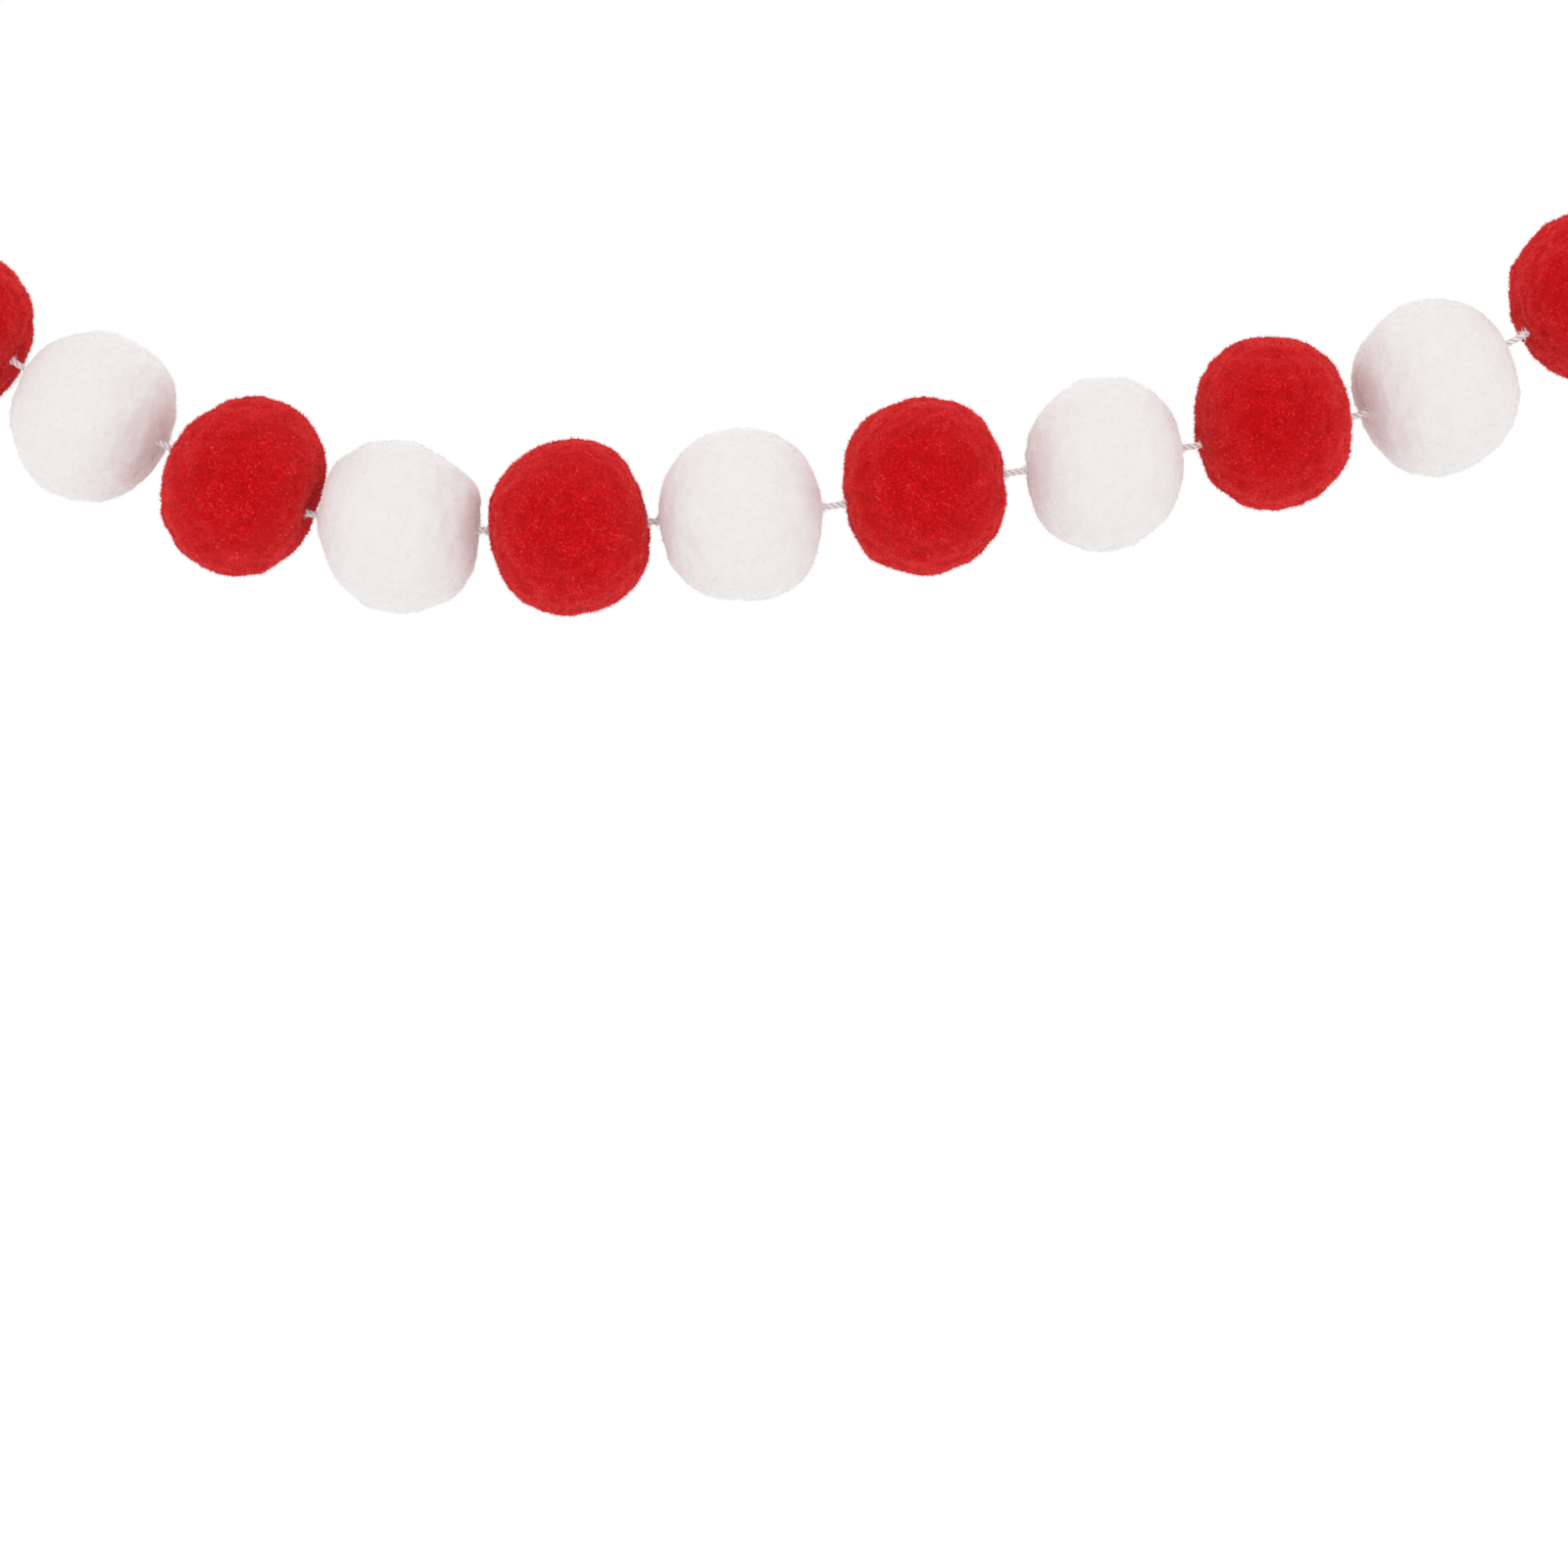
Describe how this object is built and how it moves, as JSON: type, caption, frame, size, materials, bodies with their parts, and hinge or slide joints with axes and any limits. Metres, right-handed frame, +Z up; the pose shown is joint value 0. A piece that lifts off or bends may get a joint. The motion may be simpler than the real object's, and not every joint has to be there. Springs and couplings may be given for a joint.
{
  "type": "felt ball garland",
  "caption": "Swag of red and white felt balls threaded in turn on one twisted cord, with a knot and a small hanging loop at each end.",
  "frame": {"origin": "crown of the left hanging loop, where it lies on its pin or hook", "axes": "+X along the swag from the left loop towards the right one, +Y away from the viewer, +Z up"},
  "size_m": [0.3408, 0.0316, 0.0769],
  "materials": {
    "red_felt": "matte fuzzy wool felt",
    "white_felt": "matte fine wool felt",
    "cord": "soft twisted cotton cord"
  },
  "bodies": {
    "root": {"cord": "cord", "ball_01_red": "red_felt", "ball_02_white": "white_felt", "ball_03_red": "red_felt", "ball_04_white": "white_felt", "ball_05_red": "red_felt", "ball_06_white": "white_felt", "ball_07_red": "red_felt", "ball_08_white": "white_felt", "ball_09_red": "red_felt", "ball_10_white": "white_felt", "ball_11_red": "red_felt"}
  },
  "joints": []
}
